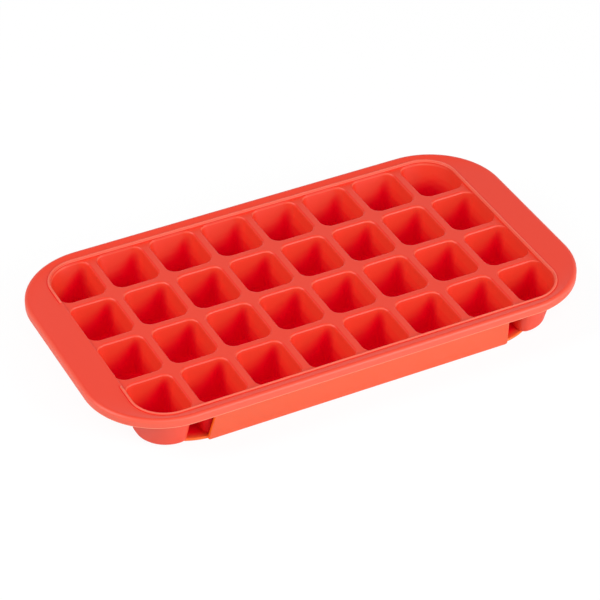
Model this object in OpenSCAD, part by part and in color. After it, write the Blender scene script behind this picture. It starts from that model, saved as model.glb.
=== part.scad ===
// Silicone ice cube tray standing in a rigid carrier base.
// Millimetres, +Z up. The origin is the centre of the base's underside, X runs along the
// long side, and the plane z = 0 is the table that the base stands on.

/* [Cells] */
// Number of cells along the long side
cells_x = 8; // [2:1:10]
// Number of cells along the short side
cells_y = 4; // [2:1:6]
// Mouth of a cell along the long side, at the level of the webs
mouth_l = 30.6; // [24:0.1:40]
// Mouth of a cell along the short side, at the level of the webs
mouth_w = 37.4; // [28:0.1:46]
// Width of the web between two mouths
web = 6.2; // [4.8:0.1:9]
// Depth of a cell from the webs down to its floor
cell_depth = 27.6; // [18:0.1:34]
// Radius of a cell's upright corners at its mouth
cell_corner = 6.6; // [4:0.1:10]
// Radius of the outer upright corner of a corner cell, which the pocket's corner follows
pocket_corner = 21.5; // [14:0.1:28]
// How much a corner's radius shrinks for each mm of depth
corner_shrink = 0.1; // [0:0.01:0.12]
// Inward lean of the walls between cells, as a fraction of the depth
inner_draft = 0.14; // [0.05:0.01:0.16]
// Inward lean of the outer walls at the short ends
end_draft = 0.16; // [0.05:0.01:0.25]
// Inward lean of the outer walls along the long sides
side_draft = 0.27; // [0.1:0.01:0.34]
// Rounding between a cell's walls and its floor, inside
floor_fillet = 3; // [1.5:0.1:4]
// Rounded edge of a cell's foot, outside
foot_edge = 2.2; // [1:0.1:4]
// Rounded edge of a mouth
mouth_edge = 1.2; // [0.6:0.1:2]
// Thickness of the cell walls
cell_wall = 1.8; // [1.2:0.1:2.4]
// Thickness of the cell floors
cell_floor = 1.8; // [1.2:0.1:3]
// Thickness of the webs
web_plate = 2.4; // [1.6:0.1:3.5]

/* [Flange] */
// Narrow ledge between the outer cells and the pocket's wall
pocket_ledge = 0.1; // [0.1:0.1:1]
// Width of the flange at the short ends
flange_end = 23.4; // [16:0.1:40]
// Width of the flange along the long sides
flange_side = 9.7; // [9:0.1:20]
// Height of the flange's top at the rim, above the webs
flange_step = 2.4; // [1.8:0.1:3.2]
// How much lower the flange's top is at the pocket than at the rim
flange_dish = 1; // [0.2:0.1:1.2]
// Thickness of the flange at the rim
flange_plate = 2.8; // [2.4:0.1:3.2]
// Height of the rim that is turned down round the flange's edge
rim_h = 6; // [5:0.1:8]
// Thickness of the rim
rim_wall = 2.6; // [2:0.1:3]
// Rounded upper edge of the rim
rim_edge = 2.4; // [0.8:0.1:2.8]
// Radius of the flange's corners in plan
flange_corner = 50.5; // [40:0.5:56]

/* [Lip] */
// Distance from the pocket's wall to the raised lip round it
lip_set = 0.8; // [0.3:0.1:1.2]
// Width of the lip
lip_w = 1.3; // [1:0.1:2]
// Height of the lip above the flange beside it
lip_h = 0.8; // [0.5:0.1:1.6]
// Length of the gap in the lip at one short end, where the tray is emptied
lip_gap = 96; // [60:1:110]

/* [Base] */
// Thickness of the base's plate
plate_t = 1.8; // [1.4:0.1:3]
// How far the plate reaches past the cells' feet at the short ends
plate_end_margin = 0.2; // [0:0.1:9]
// Radius of the plate's corners in plan
plate_corner = 42; // [30:0.5:54]
// Clearance between the cells' long outer walls and the side panels
panel_gap = 1.6; // [1:0.1:3]
// Thickness of the side panels
panel_t = 2; // [1.6:0.1:2.4]
// Length of the side panels along the table
panel_l = 208.4; // [150:0.1:214]
// How much shorter each end of a panel is at its top than at its foot, for each mm of height
panel_end_lean = 0.13; // [0:0.01:0.25]
// Clearance between the top of the side panels and the flange
panel_top_gap = 1.8; // [0.8:0.1:3]
// Rounding of the side panels' corners
panel_corner = 1.6; // [1:0.1:3]

/* [Hidden] */

pitch_x = mouth_l + web;
pitch_y = mouth_w + web;
cells_l = cells_x * pitch_x - web;
cells_w = cells_y * pitch_y - web;
pocket_l = cells_l + 2 * pocket_ledge;
pocket_w = cells_w + 2 * pocket_ledge;
tray_l = pocket_l + 2 * flange_end;
tray_w = pocket_w + 2 * flange_side;

foot_z = plate_t;                       // underside of the cells, on the plate
floor_z = foot_z + cell_floor;          // top of the cells' floors
web_z = floor_z + cell_depth;           // top of the webs
flange_z = web_z + flange_step;         // top of the flange at the rim
inner_z = flange_z - flange_dish;       // top of the flange at the pocket
rim_z = flange_z - rim_h;               // lower edge of the rim
under_z = flange_z - flange_plate;      // underside of the flange

// The long outer walls of the cells at the height of the plate's top, and the panels beside them
foot_y = cells_w / 2 + cell_wall - side_draft * (web_z - foot_z);
foot_x = cells_l / 2 + cell_wall - end_draft * (web_z - foot_z);
lean = atan(side_draft);
plate_l = 2 * (foot_x + plate_end_margin);
panel_in_y = foot_y + panel_gap;        // inner face of a panel at the plate's top
plate_w = 2 * panel_in_y;
panel_top_z = under_z - panel_top_gap;

red = [0.93, 0.33, 0.27];
orange = [0.98, 0.43, 0.31];

cell_segs = 3;                          // facets of a small upright corner
big_segs = 7;                           // facets of the pocket's corners
rim_segs = 11;                          // facets of the flange's corners

// Points of a rounded rectangle given by its four sides and the radii of its corners,
// starting at the +X +Y corner and going round by the left. n holds each corner's facets.
function outline(x0, x1, y0, y1, r, n) = concat(
    [for (i = [0:n[0]]) let (a = 90 * i / n[0]) [x1 - r[0] + r[0] * cos(a), y1 - r[0] + r[0] * sin(a)]],
    [for (i = [0:n[1]]) let (a = 90 + 90 * i / n[1]) [x0 + r[1] + r[1] * cos(a), y1 - r[1] + r[1] * sin(a)]],
    [for (i = [0:n[2]]) let (a = 180 + 90 * i / n[2]) [x0 + r[2] + r[2] * cos(a), y0 + r[2] + r[2] * sin(a)]],
    [for (i = [0:n[3]]) let (a = 270 + 90 * i / n[3]) [x1 - r[3] + r[3] * cos(a), y0 + r[3] + r[3] * sin(a)]]
);

// A solid through a stack of outlines, each [z, points], from the top one down.
module stack(rings) {
    m = len(rings[0][1]);
    k = len(rings);
    polyhedron(
        points = [for (r = rings) for (p = r[1]) [p[0], p[1], r[0]]],
        faces = concat(
            [[for (i = [m - 1:-1:0]) i]],
            [[for (i = [0:m - 1]) (k - 1) * m + i]],
            [for (j = [0:k - 2]) for (i = [0:m - 1]) let (q = (i + 1) % m)
                [j * m + i, j * m + q, (j + 1) * m + q, (j + 1) * m + i]]
        ),
        convexity = 4
    );
}

// A centred rounded rectangle.
function plan(l, w, r) = let (n = rim_segs) outline(-l / 2, l / 2, -w / 2, w / 2, [r, r, r, r], [n, n, n, n]);

// Outline of cell (i, j) at a depth below the webs, grown by g on all sides and by e on the
// sides that face another cell. Walls lean in with the depth, and h is the fillet's own inset.
function cell_outline(i, j, depth, g, e, h) = let (
        left = i == 0, right = i == cells_x - 1, front = j == 0, back = j == cells_y - 1,
        cx = (i - (cells_x - 1) / 2) * pitch_x,
        cy = (j - (cells_y - 1) / 2) * pitch_y,
        x0 = cx - mouth_l / 2 - g - (left ? 0 : e) + (left ? end_draft : inner_draft) * depth + h,
        x1 = cx + mouth_l / 2 + g + (right ? 0 : e) - (right ? end_draft : inner_draft) * depth - h,
        y0 = cy - mouth_w / 2 - g - (front ? 0 : e) + (front ? side_draft : inner_draft) * depth + h,
        y1 = cy + mouth_w / 2 + g + (back ? 0 : e) - (back ? side_draft : inner_draft) * depth - h,
        big = [right && back, left && back, left && front, right && front],
        r = [for (b = big) max((b ? pocket_corner : cell_corner) + g - corner_shrink * depth - h, 0.8)],
        n = [for (b = big) b ? big_segs : cell_segs]
    ) outline(x0, x1, y0, y1, r, n);

// The air in cell (i, j), with the rounded edge of its mouth.
module cell_air(i, j) {
    d = cell_depth - floor_fillet;
    hull() stack(concat(
        [[web_z - mouth_edge, cell_outline(i, j, mouth_edge, 0, 0, 0)]],
        [for (a = [0, 45, 90])
            [floor_z + floor_fillet * (1 - sin(a)), cell_outline(i, j, d, 0, 0, floor_fillet * (1 - cos(a)))]]
    ));
    hull() stack([
        [web_z + 0.01, cell_outline(i, j, 0, 0, mouth_edge, 0)],
        [web_z - mouth_edge, cell_outline(i, j, mouth_edge, 0, 0, 0)]
    ]);
}

// The outer skin of cell (i, j), from inside the web down to its foot.
module cell_skin(i, j) {
    d = web_z - foot_z - foot_edge;
    hull() stack(concat(
        [[web_z - web_plate / 2, cell_outline(i, j, web_plate / 2, cell_wall, 0, 0)]],
        [for (a = [0, 45, 90])
            [foot_z + foot_edge * (1 - sin(a)),
             cell_outline(i, j, d, cell_wall, 0, foot_edge * (1 - cos(a)))]]
    ));
}

module pocket_shape(grow, z0, z1) {
    n = [big_segs, big_segs, big_segs, big_segs];
    r = pocket_corner + pocket_ledge + grow;
    x = pocket_l / 2 + grow;
    y = pocket_w / 2 + grow;
    p = outline(-x, x, -y, y, [r, r, r, r], n);
    translate([0, 0, z0]) linear_extrude(height = z1 - z0) polygon(p);
}

// Flange with its rounded edge and turned-down rim. Its top falls a little towards the pocket.
module flange() {
    difference() {
        stack(concat(
            [for (a = [90, 45, 0])
                [flange_z - rim_edge * (1 - sin(a)),
                 plan(tray_l - 2 * rim_edge * (1 - cos(a)), tray_w - 2 * rim_edge * (1 - cos(a)),
                      flange_corner - rim_edge * (1 - cos(a)))]],
            [[rim_z, plan(tray_l, tray_w, flange_corner)]]
        ));
        translate([0, 0, rim_z - 1]) linear_extrude(height = under_z - rim_z + 1)
            polygon(plan(tray_l - 2 * rim_wall, tray_w - 2 * rim_wall, flange_corner - rim_wall));
        hull() {
            e = rim_edge + 0.5;
            pocket_shape(lip_set + lip_w, inner_z, inner_z + 0.01);
            translate([0, 0, flange_z]) linear_extrude(height = 1)
                polygon(plan(tray_l - 2 * e, tray_w - 2 * e, flange_corner - e));
        }
    }
}

// Raised lip with a rounded top, left out over the gap at the -X end.
module lip() {
    difference() {
        union() {
            pocket_shape(lip_set + lip_w, inner_z - 0.4, inner_z + lip_h * 0.6);
            pocket_shape(lip_set + lip_w * 0.8, inner_z, inner_z + lip_h);
        }
        pocket_shape(lip_set, inner_z, inner_z + lip_h * 0.6 + 0.01);
        pocket_shape(lip_set + lip_w * 0.2, inner_z + lip_h * 0.6, flange_z + lip_h + 1);
        translate([-pocket_l / 2 - lip_set - lip_w - 1, -lip_gap / 2, inner_z])
            cube([lip_w + pocket_corner, lip_gap, lip_h + 1]);
    }
}

module ice_tray() {
    color(red) difference() {
        union() {
            flange();
            lip();
            pocket_shape(cell_wall, web_z - web_plate, inner_z - flange_plate / 4);
            for (i = [0:cells_x - 1], j = [0:cells_y - 1]) cell_skin(i, j);
        }
        pocket_shape(0, web_z, flange_z + 1);
        for (i = [0:cells_x - 1], j = [0:cells_y - 1]) cell_air(i, j);
    }
}

// A rounded rectangle with true arcs.
module round_plan(l, w, r) {
    square([l - 2 * r, w], center = true);
    square([l, w - 2 * r], center = true);
    for (sx = [-1, 1], sy = [-1, 1])
        translate([sx * (l / 2 - r), sy * (w / 2 - r)]) circle(r, $fn = 96);
}

// A corner at b between the straight lines to a and c, rounded with radius r in n steps.
function rounded(a, b, c, r, n) = let (
        u = (a - b) / norm(a - b), v = (c - b) / norm(c - b),
        half = acos(u * v) / 2, m = (u + v) / norm(u + v),
        centre = b + m * r / sin(half),
        p = b + u * r / tan(half), q = b + v * r / tan(half),
        sweep = 180 - 2 * half, s = (u[0] * v[1] - u[1] * v[0]) > 0 ? -1 : 1,
        start = atan2(p[1] - centre[1], p[0] - centre[0])
    ) [for (i = [0:n]) centre + r * [cos(start + s * sweep * i / n), sin(start + s * sweep * i / n)]];

// Face of a side panel in X and Z: longer at its foot than at its top, with rounded corners.
module panel_face() {
    top = panel_l / 2 - panel_end_lean * panel_top_z;
    c = [[-panel_l / 2, 0], [panel_l / 2, 0], [top, panel_top_z], [-top, panel_top_z]];
    polygon([for (i = [0:3]) each rounded(c[(i + 3) % 4], c[i], c[(i + 1) % 4], panel_corner, 6)]);
}

// Side panel on the +Y side. It leans out with the cells' long walls.
module panel() {
    thick = panel_t / cos(lean);
    y0 = panel_in_y - side_draft * plate_t;
    y1 = panel_in_y + side_draft * (panel_top_z - plate_t);
    intersection() {
        rotate([90, 0, 90]) linear_extrude(height = panel_l + 2, center = true)
            polygon([[y0, 0], [y0 + thick, 0], [y1 + thick, panel_top_z], [y1, panel_top_z]]);
        translate([0, tray_w, 0]) rotate([90, 0, 0]) linear_extrude(height = tray_w) panel_face();
    }
}

module base_carrier() {
    color(orange) {
        linear_extrude(height = plate_t) round_plan(plate_l, plate_w, plate_corner);
        panel();
        mirror([0, 1, 0]) panel();
    }
}

ice_tray();
base_carrier();
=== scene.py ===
"""Looks for a silicone ice cube tray that stands in a rigid carrier base.

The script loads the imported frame, builds both pieces as surfaces worked out with numpy, and
sets up a plain pale stage with the camera at the photograph's viewing angle.
"""
import math

import bpy
import numpy as np
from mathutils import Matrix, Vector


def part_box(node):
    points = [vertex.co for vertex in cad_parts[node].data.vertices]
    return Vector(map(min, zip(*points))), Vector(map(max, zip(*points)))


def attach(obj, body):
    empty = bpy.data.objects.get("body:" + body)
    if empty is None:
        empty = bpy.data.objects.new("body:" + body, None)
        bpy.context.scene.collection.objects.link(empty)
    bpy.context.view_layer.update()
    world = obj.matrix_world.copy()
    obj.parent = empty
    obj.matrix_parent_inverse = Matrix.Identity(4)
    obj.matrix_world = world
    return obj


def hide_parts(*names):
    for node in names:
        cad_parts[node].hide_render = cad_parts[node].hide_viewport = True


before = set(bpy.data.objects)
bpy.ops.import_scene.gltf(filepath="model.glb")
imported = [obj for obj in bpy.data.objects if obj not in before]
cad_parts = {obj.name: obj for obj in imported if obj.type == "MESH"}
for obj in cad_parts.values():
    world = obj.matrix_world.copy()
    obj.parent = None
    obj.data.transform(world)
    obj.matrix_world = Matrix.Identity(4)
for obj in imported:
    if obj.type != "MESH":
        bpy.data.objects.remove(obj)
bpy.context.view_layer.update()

bl_info = {
    "name": "Silicone Ice Cube Tray",
    "version": (1, 0, 0),
    "blender": (4, 5, 0),
    "location": "View3D > Sidebar > Ice Tray",
    "description": "Builds a silicone ice cube tray in its carrier base, with finishes and a studio stage",
    "category": "Object",
}

TRAY_LOW, TRAY_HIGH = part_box("ice_tray")
BASE_LOW, BASE_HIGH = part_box("base_carrier")


def count(name, default, description):
    """A number of cells that a user can change."""
    return bpy.props.IntProperty(name=name, description=description, default=default, min=2)


def length(name, default, description):
    """A length in metres that a user can change."""
    return bpy.props.FloatProperty(name=name, description=description, default=default, min=0.0001,
                                   max=0.5, precision=5, subtype="DISTANCE", unit="LENGTH")


def share(name, default, description, high=1.0):
    """A plain number from 0 up."""
    return bpy.props.FloatProperty(name=name, description=description, default=default, min=0.0,
                                   max=high, subtype="FACTOR")


def power(name, default, description):
    """A lamp's power in watts."""
    return bpy.props.FloatProperty(name=name, description=description, default=default, min=0.0,
                                   max=1000.0, unit="POWER")


def tint(name, default, description):
    """A linear colour that a user can change."""
    return bpy.props.FloatVectorProperty(name=name, description=description, default=default,
                                         min=0.0, max=1.0, size=3, subtype="COLOR")


class TraySizes(bpy.types.PropertyGroup):
    """Sizes of the silicone tray."""
    cells_long: count("Cells along", 8, "Cells along the long side")
    cells_wide: count("Cells across", 4, "Cells along the short side")
    mouth_length: length("Mouth length", 0.0310, "Mouth of a cell along the long side")
    mouth_width: length("Mouth width", 0.0378, "Mouth of a cell along the short side")
    web: length("Web", 0.0058, "Width of the web between two mouths")
    cell_depth: length("Cell depth", 0.0276, "Depth of a cell below the webs")
    cell_corner: length("Cell corner", 0.0066, "Radius of a cell's upright corners at the mouth")
    pocket_corner: length("Pocket corner", 0.0215, "Radius of the outer corner of a corner cell")
    corner_shrink: share("Corner shrink", 0.1, "How much a corner's radius shrinks with the depth")
    inner_draft: share("Inner draft", 0.14, "Lean of the walls between cells")
    end_draft: share("End draft", 0.16, "Lean of the outer walls at the short ends")
    side_draft: share("Side draft", 0.27, "Lean of the outer walls along the long sides")
    floor_round: length("Floor rounding", 0.003, "Rounding between walls and floor, inside")
    foot_round: length("Foot rounding", 0.0022, "Rounded edge of a cell's foot, outside")
    mouth_round: length("Mouth rounding", 0.0014, "Rounded edge of a mouth")
    wall: length("Wall", 0.0018, "Thickness of walls and floors")
    web_plate: length("Web thickness", 0.0024, "Thickness of the webs")
    ledge: length("Pocket ledge", 0.0001, "Narrow ledge between the outer cells and the pocket wall")
    flange_step: length("Flange step", 0.0024, "Height of the flange's top at the rim, above the webs")
    flange_dish: length("Flange dish", 0.001, "How much lower the flange is at the pocket than at the rim")
    flange_plate: length("Flange thickness", 0.0028, "Thickness of the flange at the rim")
    flange_corner: length("Flange corner", 0.0505, "Radius of the flange's corners in plan")
    rim_height: length("Rim height", 0.006, "Height of the turned-down rim")
    rim_wall: length("Rim thickness", 0.0026, "Thickness of the rim")
    rim_round: length("Rim rounding", 0.0024, "Rounded upper edge of the rim")
    # The rim's line is a painted highlight along its lower edge
    rim_line: length("Rim line", 0.0006, "Height of the thin pale line along the rim's lower edge")
    lip_set: length("Lip set-back", 0.0005, "Distance from the pocket's wall to the raised lip round it")
    lip_width: length("Lip width", 0.0014, "Width of the lip")
    lip_height: length("Lip height", 0.0008, "Height of the lip above the flange beside it")
    lip_gap: length("Lip gap", 0.096, "Length of the gap in the lip at the -X end")


class BaseSizes(bpy.types.PropertyGroup):
    """Sizes of the carrier base."""
    plate: length("Plate", 0.0018, "Thickness of the base's plate")
    plate_corner: length("Plate corner", 0.042, "Radius of the plate's corners in plan")
    panel: length("Panel", 0.002, "Thickness of a side panel")
    panel_length: length("Panel length", 0.2084, "Length of a side panel at its foot")
    panel_lean: share("Panel lean", 0.27, "Outward lean of the side panels")
    panel_end_lean: share("Panel end lean", 0.13, "How much each end of a panel comes in with the height")
    panel_corner: length("Panel corner", 0.0016, "Rounding of the side panels' corners")
    edge_round: length("Edge rounding", 0.0005, "Rounding of all the base's edges")


class Finishes(bpy.types.PropertyGroup):
    """Colours of the two pieces and levels of the studio light."""
    silicone: tint("Silicone", (0.86, 0.048, 0.019), "Silicone where the light reaches it directly")
    # Painted shade: painted down the cells and between the base's panels, out of the lamps' direct light
    silicone_painted_shade: tint("Silicone, deep", (0.84, 0.0, 0.014), "Silicone at the bottom of the cells")
    # Painted highlight: painted on the rim, its lower line, the lip, the pocket's edge and mouth roundings
    silicone_painted_highlight: tint("Silicone, thin", (0.95, 0.26, 0.16),
                        "Silicone where it runs out thin, along the rim's lower edge")
    plastic: tint("Plastic", (0.88, 0.118, 0.041), "Plastic of the base")
    # Painted shade: painted on the plate's top under the tray, which also glows faintly with it
    plastic_painted_shade: tint("Plastic, deep", (0.95, 0.0, 0.012),
                       "Plastic of the base's plate, away from its edge")
    # Painted highlight and glow: the base's rounded edges take this colour and glow with a quarter of it
    plastic_painted_edge_glow: tint("Plastic edge", (1.0, 0.16, 0.01),
                       "Plastic's thin edges, where light that it gathers comes out")
    sky: share("Sky", 0.24, "Level of the even light from all round", 10.0)
    glint: share("Glint", 0.5, "Level of the white room in soft reflections", 10.0)
    left: power("Left lamp", 26.5, "Power of the tall soft lamp at the left")
    front: power("Front lamp", 9.5, "Power of the soft lamp high in front")
    right: power("Right lamp", 18.0, "Power of the soft lamp in front at the right")
    low: power("Low lamp", 14.5, "Power of the low soft lamp further to the right")
    back: power("Back lamp", 5.0, "Power of the low wide soft lamp behind")


# The soft lamps: name, turn from -Y towards +X and rise in degrees, width and height in metres
LAMPS = (("left", -100, 39, 0.8, 1.4), ("front", -20, 48, 0.8, 0.8), ("right", 20, 30, 0.8, 0.8),
         ("low", 42, 14, 0.8, 0.8), ("back", 150, 14, 2.4, 0.8))
LAMP_DISTANCE = 2.2

# The two lit sides whose direct light sets the painted shade and painted highlights inside the
# cells: turn, rise, width, height and strength
SIDES = ((-100, 27, 0.8, 1.9, 0.78), (36, 21, 1.6, 1.3, 1.0))

# Where a side's points lie over its width and height, and how soft the mouth's shadow is, in metres
SIDE_STEPS = np.linspace(-0.4, 0.4, 5)
SHADOW_SOFT = 0.003

# The photograph's camera: place in metres, turn in degrees, focal length and sensor in millimetres
CAMERA_PLACE = (-0.60034, -1.22391, 1.03566)
CAMERA_TURN = (53.2115, 0.5616, -26.4837)
CAMERA_LENS = 160.426
CAMERA_SENSOR = 36.0

# How far the stage's floor reaches from the middle on each side, in metres
FLOOR_REACH = 6.0

# Margins in metres that keep a flat face level up to its rounding or to the lip
WEB_MARGIN = 0.0002
LEDGE_MARGIN = 0.00003
LIP_MARGIN = 0.0003
FLANGE_MARGIN = 0.0004

# Small lengths of the tray in metres: the least radius of a cell's corners, the rounding of the
# pocket's upper edge and of the rim's lower one, the fade above the rim's pale line, the depth to
# which the lip is sunk into the flange, and the length over which each of its ends is rounded off
SMALLEST_CORNER = 0.0008
POCKET_ROUND = 0.0006
RIM_LOWER_ROUND = 0.0004
RIM_LINE_FADE = 0.0002
LIP_SUNK = 0.0006
LIP_END = 0.0011

# Radius of the lip's top edges over its width, and of the outer mouths' rounding over the ledge
LIP_ROUND_SHARE = 0.42
LEDGE_ROUND_SHARE = 0.8

# Places of the rings across a cell's floor and foot and across the flange, as shares of the way
FLOOR_STEPS = (0.04, 0.35, 0.7, 0.98)
FOOT_STEPS = (0.04, 1.0)
FLANGE_STEPS = (0.06, 0.5, 0.94)

# Faces that meet at more than this angle in degrees have a sharp edge between them
SHARP_ANGLE = 40.0

# The painted shade and highlight mark inside a cell, by shares of the mouth's rounding: where the
# rounding cuts the light off, the depth at which the mark has set in, the depth down to which it may
# be a painted highlight, and the most light that it counts until there
CUT_SHARE = 0.3
MARK_START_SHARE = 0.15
PALE_SHARE = 0.8
PALE_LIGHT = 1.35

# Marks of the silicone: above 0 painted shade, a deeper red and matte, and below 0 a pale painted highlight
# Painted shade on the cells' outer walls between the panels, a painted highlight at the two ends
WALL_MARK = 0.7
END_WALL_MARK = -0.15
# Painted highlight round the pocket's rounded edge, ending in painted shade
POCKET_EDGE_MARKS = (-0.3, -0.45, -0.25, 0.5)
# Painted shade: the lip's contact shadow on the flange
LIP_FOOT_MARK = 0.6
# Painted highlights on the lip, the rim's face and the line along the rim's lower edge
LIP_MARK = -0.38
RIM_MARK = -0.28
RIM_LINE_MARK = -1.0

# Marks of the plastic: above 0 a painted highlight that glows, along its edges, and below 0 painted
# shade that glows faintly. The plate's faces have pairs of inset and mark, and the rounded edges a
# least mark and its rise
# Painted shade on the plate's top under the tray; painted highlight and glow on the rounded edges
PLATE_TOP = ((0.006, -1.0), (0.0035, -0.6), (0.0015, 0.1))
PLATE_UNDERSIDE = ((0.0015, 0.1), (0.006, 0.0))
PLATE_EDGE = (0.4, 0.4)
PANEL_EDGE = (0.0, 1.0)

# How far inside its outline a side panel's flat faces have their outer ring, in metres
PANEL_FACE = 0.0012


# Surfaces

def outline(x0, x1, y0, y1, radii, arcs, along_x, along_y):
    """A rectangle with round corners, anticlockwise from the upper end of its +X side.

    Corner k is a quarter circle about its own centre: centre + r (cos a, sin a), with a from
    k to k + 1 right angles. The straight side after it holds the given fractions of its length.
    """
    centres = np.array([(x1 - radii[0], y1 - radii[0]), (x0 + radii[1], y1 - radii[1]),
                        (x0 + radii[2], y0 + radii[2]), (x1 - radii[3], y0 + radii[3])])
    quarters = []
    for k in range(4):
        a = np.linspace(k, k + 1, arcs[k] + 1) * math.pi / 2
        quarters.append(centres[k] + radii[k] * np.stack([np.cos(a), np.sin(a)], 1))
    runs = []
    for k in range(4):
        end, start = quarters[k][-1], quarters[(k + 1) % 4][0]
        cuts = np.asarray(along_y if k % 2 else along_x)[:, None]
        runs += [quarters[k], end + cuts * (start - end)]
    return np.vstack(runs)


def between(number):
    """Fractions of a straight side, without its ends."""
    return np.linspace(0, 1, number + 2)[1:-1]


def quarter(number):
    """Pairs 1 - cos a, 1 - sin a round a quarter circle of radius 1, a from 0 to 90 degrees."""
    return [(1 - math.cos(a), 1 - math.sin(a)) for a in np.radians(np.linspace(0, 90, number))]


def level(points, z, mark=0.0):
    """Plan points at one height, with a mark that the finish reads: rows of x, y, z, mark."""
    n = len(points)
    return np.column_stack([points, np.full(n, z), np.full(n, mark)])


def lamp_axes(turn, rise):
    """Unit directions from the origin to a lamp, along its width and up its height."""
    a, b = math.radians(turn), math.radians(rise)
    return np.array([(math.sin(a) * math.cos(b), -math.cos(a) * math.cos(b), math.sin(b)),
                     (math.cos(a), math.sin(a), 0.0),
                     (-math.sin(a) * math.sin(b), math.cos(a) * math.sin(b), math.cos(b))])


def side_light(rings, low, high, top):
    """The direct light from both lit sides on a cell's inside, over that on an open level face.

    A ray from a point p with normal n in direction d crosses the mouth's height at
    p + d (top - z) / d_z. It counts max(n.d, 0) times the side's strength where that lies in the
    mouth, from low to high, with a soft edge. Each side is a grid of five by five points.
    """
    grid = np.asarray(rings)
    points = grid[..., :3]
    along = np.roll(points, -1, 1) - np.roll(points, 1, 1)
    normal = np.cross(along, np.gradient(points, axis=0))
    normal /= np.maximum(np.linalg.norm(normal, axis=-1, keepdims=True), 1e-12)
    light, open_light = np.zeros(points.shape[:2]), 0.0
    for turn, rise, wide, tall, strength in SIDES:
        out, across, up = lamp_axes(turn, rise)
        for u in SIDE_STEPS:
            for v in SIDE_STEPS:
                ray = LAMP_DISTANCE * out + u * wide * across + v * tall * up - points
                ray /= np.linalg.norm(ray, axis=-1, keepdims=True)
                hit = points + ray * (np.maximum(top - points[..., 2:], 0) / ray[..., 2:])
                inside = np.minimum(hit[..., :2] - low, high - hit[..., :2])
                seen = np.clip(inside / SHADOW_SOFT + 0.5, 0, 1).prod(-1)
                light += strength * seen * np.maximum((normal * ray).sum(-1), 0)
                open_light += strength * max(ray[0, 0, 2], 0)
    return light / open_light


def shrunk_to(ring, centre, steps):
    """Rings that run from a flat ring in to its centre, in straight lines."""
    middle = ring.copy()
    middle[:, :2] = centre
    return [ring + part * (middle - ring) for part in steps]


def edge_rings(ring, radius, thick, least, rise):
    """Rings round a plate's edge, from one face to the other: a quarter circle at each.

    ring gives a ring from its inset, its depth below the first face and its mark. The mark, a
    painted highlight and glow on the base's edges, is least + rise (1 - inset / radius) squared, so it
    is highest between the two roundings.
    """
    rings = [ring(radius * inset, radius * depth, least + rise * (1 - inset) ** 2)
             for depth, inset in quarter(6)]
    rings += [ring(radius * inset, thick - radius * up, least + rise * (1 - inset) ** 2)
              for inset, up in quarter(6)]
    return rings


def loft(rings, flip=False, closed=True, tube=False):
    """The surface through a stack of rings: point (k, i) is point i of ring k, as a grid of quads.

    Each quad is two triangles. closed joins each ring's ends, and tube joins the last ring to the first.
    """
    grid = np.asarray(rings)
    k, n = grid.shape[:2]
    index = np.arange(k * n).reshape(k, n)
    if closed:
        index = np.column_stack([index, index[:, :1]])
    if tube:
        index = np.vstack([index, index[:1]])
    a, b, c, d = index[:-1, :-1], index[:-1, 1:], index[1:, 1:], index[1:, :-1]
    faces = np.stack([a, b, c, a, c, d], -1).reshape(-1, 3)
    return grid.reshape(-1, 4), faces[:, ::-1] if flip else faces


def joined(parts):
    """Several surfaces as one, with points closer than a micrometre merged and empty faces dropped."""
    starts = np.cumsum([0] + [len(p[0]) for p in parts])
    points = np.vstack([p[0] for p in parts])
    faces = np.vstack([p[1] + start for p, start in zip(parts, starts)])
    key = np.round(points[:, :3] * 1e6).astype(np.int64)
    _, first, back = np.unique(key, axis=0, return_index=True, return_inverse=True)
    points, faces = points[first], back.reshape(-1)[faces]
    whole = (faces[:, 0] != faces[:, 1]) & (faces[:, 1] != faces[:, 2]) & (faces[:, 2] != faces[:, 0])
    return points, faces[whole]


def piece(name, points, faces, mark):
    """A mesh object at the origin, smooth except at sharp edges, with its mark as an attribute."""
    mesh = bpy.data.meshes.new(name)
    mesh.from_pydata(points[:, :3].tolist(), [], faces.tolist())
    mesh.attributes.new(mark, "FLOAT", "POINT").data.foreach_set("value", points[:, 3].astype(np.float32))
    mesh.update()
    mesh.shade_smooth()
    mesh.set_sharp_from_angle(angle=math.radians(SHARP_ANGLE))
    built = bpy.data.objects.new(name, mesh)
    bpy.context.scene.collection.objects.link(built)
    return built


# The tray

# Cuts of a cell's straight sides, and steps round a cell's own corner and round the pocket's
SIDE_CUTS = between(3)
SMALL_ARC = 8
BIG_ARC = 24


def cell_outline(x0, x1, y0, y1, radii, big):
    """A cell's outline, with finer arcs at the corners that follow the pocket's own."""
    return outline(x0, x1, y0, y1, radii, [BIG_ARC if b else SMALL_ARC for b in big], SIDE_CUTS, SIDE_CUTS)


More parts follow.
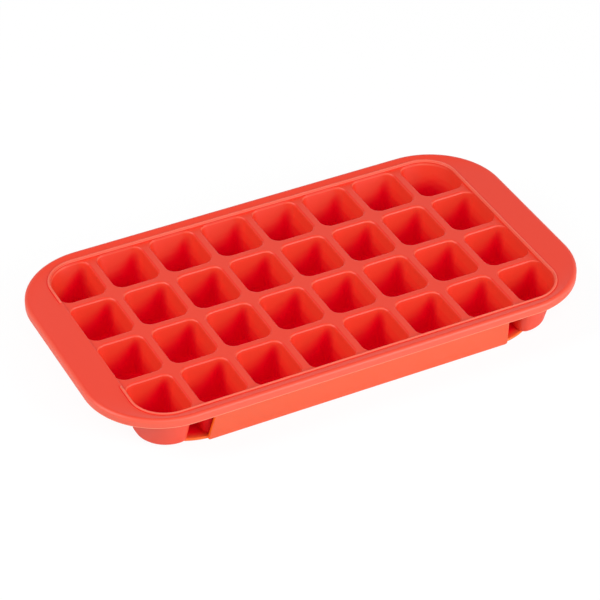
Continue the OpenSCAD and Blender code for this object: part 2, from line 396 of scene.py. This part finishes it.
class TrayPlan:
    """Where the tray's cells, pocket and flange lie, from its sizes."""

    def __init__(self, sizes):
        self.sizes = sizes
        self.pitch = (sizes.mouth_length + sizes.web, sizes.mouth_width + sizes.web)
        self.cells = (sizes.cells_long * self.pitch[0] - sizes.web,
                      sizes.cells_wide * self.pitch[1] - sizes.web)
        self.pocket = tuple(c + 2 * sizes.ledge for c in self.cells)
        self.size = (TRAY_HIGH.x - TRAY_LOW.x, TRAY_HIGH.y - TRAY_LOW.y)
        self.foot = TRAY_LOW.z
        self.floor = self.foot + sizes.wall
        self.web = self.floor + sizes.cell_depth
        self.top = self.web + sizes.flange_step
        self.inner = self.top - sizes.flange_dish
        self.under = self.top - sizes.flange_plate
        self.rim = self.top - sizes.rim_height
        r = sizes.pocket_corner + sizes.ledge
        self.cuts = [self.side_cuts(axis, r) for axis in (0, 1)]

    def side_cuts(self, axis, r):
        """Fractions of the pocket's straight side at which the cells' tiles have their points."""
        cells = (self.sizes.cells_long, self.sizes.cells_wide)[axis]
        joints = (np.arange(1, cells) - cells / 2) * self.pitch[axis]
        ends = self.pocket[axis] / 2 - r
        joints = np.concatenate([[-ends], joints, [ends]])
        steps = np.linspace(0, 1, len(SIDE_CUTS) + 2)[:-1]
        places = (joints[:-1, None] + steps * np.diff(joints)[:, None]).ravel()[1:]
        return (places + ends) / (2 * ends)

    def pocket_ring(self, grow, z, mark=0.0):
        """The pocket's outline, grown all round."""
        x, y = self.pocket[0] / 2 + grow, self.pocket[1] / 2 + grow
        r = self.sizes.pocket_corner + self.sizes.ledge + grow
        return level(outline(-x, x, -y, y, [r] * 4, [BIG_ARC] * 4, *self.cuts), z, mark)

    def flange_ring(self, inset, z, mark=0.0):
        """The flange's outline, moved in all round."""
        x, y = self.size[0] / 2 - inset, self.size[1] / 2 - inset
        r = self.sizes.flange_corner - inset
        return level(outline(-x, x, -y, y, [r] * 4, [BIG_ARC] * 4, *self.cuts), z, mark)

    def cell(self, i, j):
        """Which sides of cell (i, j) are outer walls, as left, right, front and back, and its centre."""
        sizes = self.sizes
        outer = (i == 0, i == sizes.cells_long - 1, j == 0, j == sizes.cells_wide - 1)
        centre = ((i - (sizes.cells_long - 1) / 2) * self.pitch[0],
                  (j - (sizes.cells_wide - 1) / 2) * self.pitch[1])
        return outer, centre

    def big_corners(self, outer):
        """Which corners of a cell lie in the pocket's own corners, in the order that outline has."""
        left, right, front, back = outer
        return (right and back, left and back, left and front, right and front)

    def cell_ring(self, i, j, depth, z, grow=0.0, grow_outer=None, inset=0.0, mark=0.0):
        """Outline of cell (i, j) at a depth: each wall leans in by its draft times the depth.

        The inset moves all walls in. grow moves the inner walls out, and grow_outer the outer ones.
        """
        sizes = self.sizes
        outer, centre = self.cell(i, j)
        grow_outer = grow if grow_outer is None else grow_outer
        outer_drafts = (sizes.end_draft, sizes.end_draft, sizes.side_draft, sizes.side_draft)
        drafts = [d if o else sizes.inner_draft for o, d in zip(outer, outer_drafts)]
        move = [d * depth + inset - (grow_outer if o else grow) for o, d in zip(outer, drafts)]
        x, y = sizes.mouth_length / 2, sizes.mouth_width / 2
        big = self.big_corners(outer)
        radii = [sizes.pocket_corner + grow_outer if b else sizes.cell_corner + grow for b in big]
        radii = [max(r - sizes.corner_shrink * depth - inset, SMALLEST_CORNER) for r in radii]
        plan = cell_outline(centre[0] - x + move[0], centre[0] + x - move[1], centre[1] - y + move[2],
                            centre[1] + y - move[3], radii, big)
        return level(plan, z, mark)

    def tile_ring(self, i, j, grow, z):
        """Outline of the part of the web plate that belongs to cell (i, j).

        It reaches to the middle of the webs, and its outer sides follow the pocket's outline, grown.
        """
        outer, centre = self.cell(i, j)
        half = (self.pitch[0] / 2, self.pitch[1] / 2)
        edge = (self.pocket[0] / 2 + grow, self.pocket[1] / 2 + grow)
        x0 = -edge[0] if outer[0] else centre[0] - half[0]
        x1 = edge[0] if outer[1] else centre[0] + half[0]
        y0 = -edge[1] if outer[2] else centre[1] - half[1]
        y1 = edge[1] if outer[3] else centre[1] + half[1]
        big = self.big_corners(outer)
        r = self.sizes.pocket_corner + self.sizes.ledge + grow
        return level(cell_outline(x0, x1, y0, y1, [r if b else 0.0 for b in big], big), z)


def inside_mark(light, depth, e):
    """The painted shade and highlight mark of one ring inside a cell, from its direct light: 1 less
    that light.

    So it paints shade where the two sides' direct light does not reach and only other walls light it.
    It is 0 at the web and sets in over the first part of the mouth's rounding, whose radius is e. On
    the rounding strong light makes it a painted highlight, and further down it never falls under 0.
    """
    most = PALE_LIGHT if depth < PALE_SHARE * e else 1
    return min(depth / (MARK_START_SHARE * e), 1) * (1 - np.minimum(light, most))


def cell_inside(tray, i, j):
    """Web top, rounded mouth, walls and floor of one cell, from the outside in.

    The mouth's rounding e is a quarter circle: depth e (1 - cos a), growth e (1 - sin a). The
    floor's rounding f is another: height f (1 - sin a), inset f (1 - cos a).
    """
    sizes = tray.sizes
    _, centre = tray.cell(i, j)
    e, f = sizes.mouth_round, sizes.floor_round
    wall_end = sizes.cell_depth - f
    outer = min(LEDGE_ROUND_SHARE * sizes.ledge, e)
    edge = [tray.tile_ring(i, j, 0.0, tray.web),
            tray.cell_ring(i, j, 0.0, tray.web, e + WEB_MARGIN, outer + LEDGE_MARGIN)]
    rings = []
    for fall, grow in quarter(7):
        rings.append(tray.cell_ring(i, j, e * fall, tray.web - e * fall, e * grow, outer * grow))
    for depth in np.linspace(e, wall_end, 12)[1:-1]:
        rings.append(tray.cell_ring(i, j, depth, tray.web - depth))
    for inset, up in quarter(7):
        rings.append(tray.cell_ring(i, j, wall_end, tray.floor + f * up, inset=f * inset))
    rings += shrunk_to(rings[-1], centre, FLOOR_STEPS)
    cut = CUT_SHARE * e
    mouth = np.array([sizes.mouth_length, sizes.mouth_width]) / 2 + cut
    # Painted shade and highlights: the two sides' direct light sets each ring's mark
    lit = side_light(rings, centre - mouth, centre + mouth, tray.web - cut)
    for ring, light in zip(rings, lit):
        ring[:, 3] = inside_mark(light, tray.web - ring[0, 2], e)
    rings += shrunk_to(rings[-1], centre, (1.0,))
    return loft(edge + rings)


def cell_outside(tray, i, j):
    """Underside of the web plate, outer walls and foot of one cell, from the outside in.

    The foot's rounding f is a quarter circle: height f (1 - sin a), inset f (1 - cos a).
    The walls are painted shade, a deep red, between the base's panels, and have a faint painted
    highlight in the two end columns.
    """
    sizes = tray.sizes
    _, centre = tray.cell(i, j)
    f = sizes.foot_round
    wall_end = tray.web - tray.foot - f
    # Painted shade on the outer walls, and a faint painted highlight in the two end columns
    mark = END_WALL_MARK if i in (0, sizes.cells_long - 1) else WALL_MARK
    rings = [tray.tile_ring(i, j, sizes.wall, tray.web - sizes.web_plate)]
    for depth in np.linspace(sizes.web_plate, wall_end, 4):
        rings.append(tray.cell_ring(i, j, depth, tray.web - depth, sizes.wall, mark=mark))
    for inset, up in quarter(6)[1:]:
        rings.append(tray.cell_ring(i, j, wall_end, tray.foot + f * up, sizes.wall,
                                    inset=f * inset, mark=mark))
    rings += shrunk_to(rings[-1], centre, FOOT_STEPS)
    return loft(rings, flip=True)


def flange_surface(tray):
    """Pocket wall, flange, rounded rim and underside: rings that run up, out, down, in and down.

    Every rounding is a quarter circle. Beside the lip, the pocket's edge has a painted highlight and
    the foot of the lip painted shade, and both are left out in the lip's gap. The rim has a faint
    painted highlight, with a thin line along its lower edge that is the brightest painted highlight.
    """
    sizes = tray.sizes
    rings = [tray.pocket_ring(0.0, tray.web), tray.pocket_ring(0.0, tray.inner - POCKET_ROUND)]
    # Painted highlight along the pocket's rounded edge, ending in painted shade
    for (out, fall), mark in zip(quarter(5)[1:], POCKET_EDGE_MARKS):
        rings.append(tray.pocket_ring(POCKET_ROUND * out, tray.inner - POCKET_ROUND * fall, mark))
    foot = sizes.lip_set + sizes.lip_width
    # Painted shade at the foot of the lip
    rings += [tray.pocket_ring(foot + margin, tray.inner, LIP_FOOT_MARK) for margin in (0.0, LIP_MARGIN)]
    for ring in rings:
        ring[(ring[:, 0] < 0) & (abs(ring[:, 1]) < sizes.lip_gap / 2), 3] = 0
    upper, lower = sizes.rim_round, RIM_LOWER_ROUND
    start = tray.pocket_ring(foot + LIP_MARGIN, tray.inner)
    end = tray.flange_ring(upper + FLANGE_MARGIN, tray.top)
    rings += [start + part * (end - start) for part in FLANGE_STEPS] + [end]
    for fall, inset in quarter(9):
        # Painted highlight over the rim, brightest on the line along its lower edge
        rings.append(tray.flange_ring(upper * inset, tray.top - upper * fall, RIM_MARK * (1 - inset)))
    line = tray.rim + sizes.rim_line
    rings.append(tray.flange_ring(0.0, line + RIM_LINE_FADE, RIM_MARK))
    rings.append(tray.flange_ring(0.0, line, RIM_LINE_MARK))
    for inset, up in quarter(4):
        rings.append(tray.flange_ring(lower * inset, tray.rim + lower * up, RIM_LINE_MARK * (1 - inset)))
    inner = sizes.rim_wall - 2 * lower
    for up, out in quarter(6):
        rings.append(tray.flange_ring(sizes.rim_wall - inner * out, tray.rim + inner * up))
    rings.append(tray.flange_ring(sizes.rim_wall, tray.under))
    rings.append(tray.pocket_ring(sizes.wall, tray.under))
    rings.append(tray.pocket_ring(sizes.wall, tray.web - sizes.web_plate))
    return loft(rings, flip=True)


def lip_surface(tray):
    """The raised lip: a section with a round top, carried along the pocket's outline outside the gap.

    Near each end of the lip the section shrinks by the square root of 1 - t squared, t running
    from 0 to 1 over the last millimetre or so, which rounds the end off. All of the lip has a painted
    highlight.
    """
    sizes = tray.sizes
    w, h = sizes.lip_width, sizes.lip_height
    r = LIP_ROUND_SHARE * w
    a = np.radians(np.linspace(0, 90, 6))
    across = np.concatenate([[-w / 2], -w / 2 + r * (1 - np.cos(a)), w / 2 - r * (1 - np.sin(a)), [w / 2]])
    up = np.concatenate([[-LIP_SUNK], h - r * (1 - np.sin(a)), h - r * (1 - np.cos(a)), [-LIP_SUNK]])
    ends = tray.pocket[1] / 2 - sizes.pocket_corner - sizes.ledge
    y = np.linspace(sizes.lip_gap / 2, ends, 8)[:-1]
    cuts_x, cuts_y = between(9), (np.concatenate([-y[::-1], y]) + ends) / (2 * ends)
    past_gap = 2 * (BIG_ARC + 1) + len(cuts_x) + len(y)

    def path(grow):
        x, y = tray.pocket[0] / 2 + grow, tray.pocket[1] / 2 + grow
        corner = sizes.pocket_corner + sizes.ledge + grow
        points = outline(-x, x, -y, y, [corner] * 4, [BIG_ARC] * 4, cuts_x, cuts_y)
        return np.roll(points, -past_gap, axis=0)

    # The path a millimetre further out gives the direction across the lip
    middle = sizes.lip_set + w / 2
    line, side = path(middle), path(middle + 0.001)
    normal = (side - line) / np.linalg.norm(side - line, axis=1, keepdims=True)
    t = np.linspace(0, 1, 8)[1:]
    size = np.sqrt(np.maximum(1 - t ** 2, 0))
    scale = np.concatenate([size[::-1], np.ones(len(line)), size])
    beyond = np.outer(t, [0, LIP_END])
    line = np.vstack([line[0] + beyond[::-1], line, line[-1] - beyond])
    normal = np.pad(normal, ((len(t), len(t)), (0, 0)), "edge")
    rings = []
    for u, v in zip(across, up):
        plan = line + normal * (u * scale)[:, None]
        z = tray.inner - LIP_SUNK + (v + LIP_SUNK) * scale
        # Painted highlight over all of the lip
        rings.append(np.column_stack([plan, z, np.full(len(z), LIP_MARK)]))
    return loft(rings, flip=True, closed=False, tube=True)


# The base

def plate_surface(size, corner, thick, radius):
    """The base's plate: rings from the middle of its top out, over the rounded edge and back in below."""
    x, y = size[0] / 2, size[1] / 2
    middle = (0.0, 0.0)

    def ring(inset, depth, mark):
        plan = outline(-x + inset, x - inset, -y + inset, y - inset, [corner - inset] * 4, [32] * 4,
                       between(12), between(6))
        return level(plan, thick - depth, mark)

    top = [ring(inset, 0.0, mark) for inset, mark in PLATE_TOP]
    underside = [ring(inset, thick, mark) for inset, mark in PLATE_UNDERSIDE]
    rings = shrunk_to(top[0], middle, (1.0, 0.5)) + top
    rings += edge_rings(ring, radius, thick, *PLATE_EDGE)
    rings += underside + shrunk_to(underside[-1], middle, (0.5, 1.0))
    return loft(rings, flip=True)


def panel_surface(base, outer_y, side):
    """A side panel: rings in X and Z carried through its thickness, then leant outwards.

    Points start on a rectangle with round corners. x becomes x (1 - lean z / half length) and y
    moves out by the panel's lean times z. side is -1 for the front panel and 1 for the back one.
    """
    half, high = base.panel_length / 2, BASE_HIGH.z
    thick = panel_thickness(base)

    def ring(inset, depth, mark):
        plan = outline(-half + inset, half - inset, inset, high - inset, [base.panel_corner - inset] * 4,
                       [8] * 4, between(24), between(6))
        x, z = plan[:, 0], plan[:, 1]
        y = -(outer_y + base.panel_lean * z - depth)
        return np.column_stack([x * (1 - base.panel_end_lean * z / half), y, z, np.full(len(z), mark)])

    def to_middle(rim, steps):
        middle = rim.copy()
        middle[:, 0] = 0.0
        middle[:, 1] += base.panel_lean * (rim[:, 2] - high / 2)
        middle[:, 2] = high / 2
        return [rim + part * (middle - rim) for part in steps]

    face, back = ring(PANEL_FACE, 0.0, 0.0), ring(PANEL_FACE, thick, 0.0)
    rings = to_middle(face, (1.0, 0.5)) + [face]
    rings += edge_rings(ring, base.edge_round, thick, *PANEL_EDGE)
    rings += [back] + to_middle(back, (0.5, 1.0))
    rings = np.array(rings)
    if side > 0:
        rings[:, :, 1] *= -1
    return loft(rings, flip=side < 0)


def panel_thickness(base):
    """A side panel's thickness along Y: its own thickness over the cosine of its lean."""
    return base.panel / math.cos(math.atan(base.panel_lean))


# Finishes

class Amount:
    """A number that changes over a surface: an output socket, whose sums and products add Math nodes."""

    def __init__(self, finish, socket):
        self.finish = finish
        self.socket = socket

    def combined(self, operation, a, b):
        """The result of a Math node on two numbers or amounts."""
        node = self.finish.add("ShaderNodeMath", {"operation": operation}, {0: a, 1: b})
        return Amount(self.finish, node.outputs[0])

    def __add__(self, other):
        return self.combined("ADD", self, other)

    def __radd__(self, other):
        return self.combined("ADD", other, self)

    def __sub__(self, other):
        return self.combined("SUBTRACT", self, other)

    def __rsub__(self, other):
        return self.combined("SUBTRACT", other, self)

    def __mul__(self, other):
        return self.combined("MULTIPLY", self, other)

    def __rmul__(self, other):
        return self.combined("MULTIPLY", other, self)


class Finish:
    """A node material that is put together node by node."""

    def __init__(self, name):
        self.material = bpy.data.materials.new(name)
        self.material.use_nodes = True
        self.tree = self.material.node_tree
        self.tree.nodes.clear()
        self.output = self.tree.nodes.new("ShaderNodeOutputMaterial")

    def add(self, kind, settings=None, sockets=None):
        """A node of one kind, with its settings first and then the values or links of its sockets."""
        node = self.tree.nodes.new(kind)
        for name, value in (settings or {}).items():
            setattr(node, name, value)
        for name, value in (sockets or {}).items():
            if isinstance(value, Amount):
                value = value.socket
            if isinstance(value, bpy.types.NodeSocket):
                self.tree.links.new(value, node.inputs[name])
            else:
                node.inputs[name].default_value = value
        return node

    def mark(self, name):
        """The piece's own attribute as a number."""
        return Amount(self, self.add("ShaderNodeAttribute", {"attribute_name": name}).outputs["Fac"])

    def place(self):
        """Object coordinates, in metres."""
        return self.add("ShaderNodeTexCoord").outputs["Object"]

    def noise(self, place, scale, roughness=0.5):
        """Soft noise about 0.5, with features of about one over the scale in metres."""
        node = self.add("ShaderNodeTexNoise", None, {"Vector": place, "Scale": scale, "Detail": 2.0,
                                                    "Roughness": roughness})
        return Amount(self, node.outputs["Fac"])

    def blend(self, amount, a, b):
        """Colour a where the amount is 0 or less and b where it is 1."""
        node = self.add("ShaderNodeMix", {"data_type": "RGBA"}, {0: amount, 6: a, 7: b})
        return node.outputs[2]

    def within(self, amount, low, high):
        """0 below low and 1 above high, with a smooth step between."""
        node = self.add("ShaderNodeMapRange", {"interpolation_type": "SMOOTHSTEP"},
                        {"Value": amount, "From Min": low, "From Max": high})
        return Amount(self, node.outputs["Result"])

    def bump(self, height, strength, distance):
        """A normal from a height, given as an amount from 0 to 1, over a distance in metres."""
        return self.add("ShaderNodeBump", None, {"Height": height, "Strength": strength,
                                                 "Distance": distance}).outputs["Normal"]

    def mixed(self, amount, a, b):
        """Shader a where the amount is 0 and b where it is 1."""
        return self.add("ShaderNodeMixShader", None, {0: amount, 1: a.outputs[0], 2: b.outputs[0]})

    def surface(self, shader):
        """The finished material, with the shader as its surface."""
        self.tree.links.new(shader.outputs[0], self.output.inputs["Surface"])
        return self.material


def solid(colour, brightness=1.0):
    """A colour for a socket, at a share of its own brightness."""
    return (*[c * brightness for c in colour], 1.0)


def silicone_finish(look):
    """Satin silicone with a fine grain: painted shade down the cells in a deeper, purer red that turns
    matte, and painted highlights in a paler colour.
    """
    finish = Finish("silicone")
    place = finish.place()
    shade = finish.mark("shade")
    cloud = finish.noise(place, 45.0)
    grain = finish.noise(place, 3200.0, 0.6)
    near = finish.blend(cloud * 0.10, solid(look.silicone), solid(look.silicone, 0.92))
    # Painted shade: above 0 the mark paints a deeper red and, in the mix at the end, a matte shader
    deep = finish.within(shade, 0.15, 0.92)
    red = finish.blend(deep, near, solid(look.silicone_painted_shade))
    # Painted highlight: below 0 the mark paints the pale colour
    colour = finish.blend(shade * -1.0, red, solid(look.silicone_painted_highlight))
    normal = finish.bump(grain, 0.12, 0.00006)
    satin = finish.add("ShaderNodeBsdfPrincipled", None, {
        "Base Color": colour, "Roughness": 0.44 + 0.08 * (grain - 0.5) + 0.04 * (cloud - 0.5),
        "IOR": 1.5, "Normal": normal})
    matte = finish.add("ShaderNodeBsdfPrincipled", None, {
        "Base Color": colour, "Roughness": 1.0, "Specular IOR Level": 0.0, "Normal": normal})
    return finish.surface(finish.mixed(deep, satin, matte))


def plastic_finish(look):
    """Smooth moulded plastic with a painted highlight that glows along its edges, and painted shade
    that glows faintly on the plate's top.
    """
    finish = Finish("base_plastic")
    place = finish.place()
    edge = finish.mark("thin_edge")
    cloud = finish.noise(place, 28.0)
    grain = finish.noise(place, 2400.0, 0.6)
    near = finish.blend(cloud * 0.12, solid(look.plastic), solid(look.plastic, 0.9))
    # Painted highlight along the base's edges
    bright = finish.blend(edge, near, solid(look.plastic_painted_edge_glow))
    # Painted shade on the plate's top
    colour = finish.blend(edge * -1.0, bright, solid(look.plastic_painted_shade))
    # Painted glow: the plastic emits light along its edges and faintly in its painted shade, no lamp
    painted_glow = finish.blend(edge, (0.0, 0.0, 0.0, 1.0), solid(look.plastic_painted_edge_glow, 0.25))
    painted_glow = finish.blend(edge * -1.0, painted_glow, solid(look.plastic_painted_shade, 0.09))
    shader = finish.add("ShaderNodeBsdfPrincipled", None, {
        "Base Color": colour, "Roughness": 0.30 + 0.06 * (grain - 0.5) + 0.05 * (cloud - 0.5),
        "IOR": 1.5, "Normal": finish.bump(grain, 0.06, 0.00004),
        "Emission Color": painted_glow, "Emission Strength": 1.0})
    return finish.surface(shader)


def floor_finish():
    """A white floor that the camera sees as nearly paper white, with a trace of the pieces' soft shadow."""
    finish = Finish("floor_white")
    matte = finish.add("ShaderNodeBsdfDiffuse", None, {"Color": (0.86, 0.86, 0.86, 1.0)})
    paper = finish.add("ShaderNodeEmission", None, {"Color": (1.0, 1.0, 1.0, 1.0), "Strength": 1.03})
    path = finish.add("ShaderNodeLightPath")
    seen = finish.mixed(0.9, matte, paper)
    return finish.surface(finish.mixed(path.outputs["Is Camera Ray"], matte, seen))


# Stage

def white_floor(scene):
    """The floor, a square at z = 0."""
    r = FLOOR_REACH
    mesh = bpy.data.meshes.new("floor")
    mesh.from_pydata([(-r, -r, 0), (r, -r, 0), (r, r, 0), (-r, r, 0)], [], [(0, 1, 2, 3)])
    floor = bpy.data.objects.new("floor", mesh)
    mesh.materials.append(floor_finish())
    scene.collection.objects.link(floor)


def studio_world(scene, look):
    """Even light from all round, which is brighter in reflections and plain white to the camera."""
    world = bpy.data.worlds.new("studio")
    world.use_nodes = True
    tree = world.node_tree
    tree.nodes.clear()

    def room(strength):
        node = tree.nodes.new("ShaderNodeBackground")
        node.inputs["Color"].default_value = (1.0, 1.0, 1.0, 1.0)
        node.inputs["Strength"].default_value = strength
        return node

    out, path = tree.nodes.new("ShaderNodeOutputWorld"), tree.nodes.new("ShaderNodeLightPath")
    shown = room(look.sky)
    for ray, strength in (("Is Glossy Ray", look.glint), ("Is Camera Ray", 1.0)):
        mix = tree.nodes.new("ShaderNodeMixShader")
        tree.links.new(path.outputs[ray], mix.inputs[0])
        tree.links.new(shown.outputs[0], mix.inputs[1])
        tree.links.new(room(strength).outputs[0], mix.inputs[2])
        shown = mix
    tree.links.new(shown.outputs[0], out.inputs["Surface"])
    scene.world = world


def soft_lamps(scene, look):
    """The soft lamps, all at one distance and turned to the origin."""
    for name, turn, rise, wide, tall in LAMPS:
        lamp = bpy.data.lights.new(name + "_softbox", "AREA")
        lamp.shape = "RECTANGLE"
        lamp.size = wide
        lamp.size_y = tall
        lamp.energy = getattr(look, name)
        holder = bpy.data.objects.new(name + "_softbox", lamp)
        holder.location = LAMP_DISTANCE * lamp_axes(turn, rise)[0]
        holder.rotation_euler = (math.radians(90 - rise), 0.0, math.radians(turn))
        scene.collection.objects.link(holder)


def photo_camera(scene):
    """The camera at the photograph's viewing angle."""
    view = bpy.data.cameras.new("camera")
    view.sensor_width = CAMERA_SENSOR
    view.lens = CAMERA_LENS
    view.clip_start = 0.05
    view.clip_end = 50.0
    camera = bpy.data.objects.new("camera", view)
    camera.location = CAMERA_PLACE
    camera.rotation_euler = tuple(math.radians(a) for a in CAMERA_TURN)
    scene.collection.objects.link(camera)
    scene.camera = camera
    scene.view_settings.view_transform = "Standard"


# Operators

class ICETRAY_OT_tray(bpy.types.Operator):
    """Build the silicone tray: cells, webs, pocket, lip, flange and rim in one piece"""
    bl_idname = "icetray.tray"
    bl_label = "Silicone Tray"

    def execute(self, context):
        sizes = context.scene.ice_tray_sizes
        tray = TrayPlan(sizes)
        parts = [flange_surface(tray), lip_surface(tray)]
        for i in range(sizes.cells_long):
            for j in range(sizes.cells_wide):
                parts += [cell_inside(tray, i, j), cell_outside(tray, i, j)]
        # Its attribute holds the silicone's painted shade and painted highlights
        built = piece("tray_silicone", *joined(parts), "shade")
        built.data.materials.append(silicone_finish(context.scene.ice_tray_finishes))
        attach(built, "root")
        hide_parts("ice_tray")
        return {"FINISHED"}


class ICETRAY_OT_base(bpy.types.Operator):
    """Build the rigid carrier base: plate and two leaning side panels"""
    bl_idname = "icetray.base"
    bl_label = "Carrier Base"

    def execute(self, context):
        base = context.scene.ice_tray_base
        outer = BASE_HIGH.y - base.panel_lean * BASE_HIGH.z
        inner_at_top = outer - panel_thickness(base) + base.panel_lean * base.plate
        size = (BASE_HIGH.x - BASE_LOW.x, 2 * inner_at_top)
        parts = [plate_surface(size, base.plate_corner, base.plate, base.edge_round),
                 panel_surface(base, outer, -1), panel_surface(base, outer, 1)]
        # Its attribute holds the plastic's painted glow, painted highlights and painted shade
        built = piece("carrier_plastic", *joined(parts), "thin_edge")
        built.data.materials.append(plastic_finish(context.scene.ice_tray_finishes))
        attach(built, "root")
        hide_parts("base_carrier")
        return {"FINISHED"}


class ICETRAY_OT_stage(bpy.types.Operator):
    """Set up the floor, the soft light, the world and the camera"""
    bl_idname = "icetray.stage"
    bl_label = "Studio Stage"

    def execute(self, context):
        scene, look = context.scene, context.scene.ice_tray_finishes
        white_floor(scene)
        studio_world(scene, look)
        soft_lamps(scene, look)
        photo_camera(scene)
        return {"FINISHED"}


class ICETRAY_PT_panel(bpy.types.Panel):
    """Lists the builders and what they read"""
    bl_idname = "ICETRAY_PT_panel"
    bl_label = "Ice Tray"
    bl_space_type = "VIEW_3D"
    bl_region_type = "UI"
    bl_category = "Ice Tray"

    def draw(self, context):
        for operator in OPERATORS:
            self.layout.operator(operator.bl_idname)
        for group in GROUPS:
            settings = getattr(context.scene, group)
            box = self.layout.box()
            for name in settings.bl_rna.properties.keys():
                if name not in ("rna_type", "name"):
                    box.prop(settings, name)


GROUPS = {"ice_tray_sizes": TraySizes, "ice_tray_base": BaseSizes, "ice_tray_finishes": Finishes}
OPERATORS = (ICETRAY_OT_tray, ICETRAY_OT_base, ICETRAY_OT_stage)


def register():
    for cls in (*GROUPS.values(), *OPERATORS, ICETRAY_PT_panel):
        bpy.utils.register_class(cls)
    for name, group in GROUPS.items():
        setattr(bpy.types.Scene, name, bpy.props.PointerProperty(type=group))


def unregister():
    for name in GROUPS:
        delattr(bpy.types.Scene, name)
    for cls in (ICETRAY_PT_panel, *reversed(OPERATORS), *reversed(GROUPS.values())):
        bpy.utils.unregister_class(cls)


def main():
    register()
    bpy.ops.icetray.tray()
    bpy.ops.icetray.base()
    bpy.ops.icetray.stage()


if __name__ == "__main__":
    main()
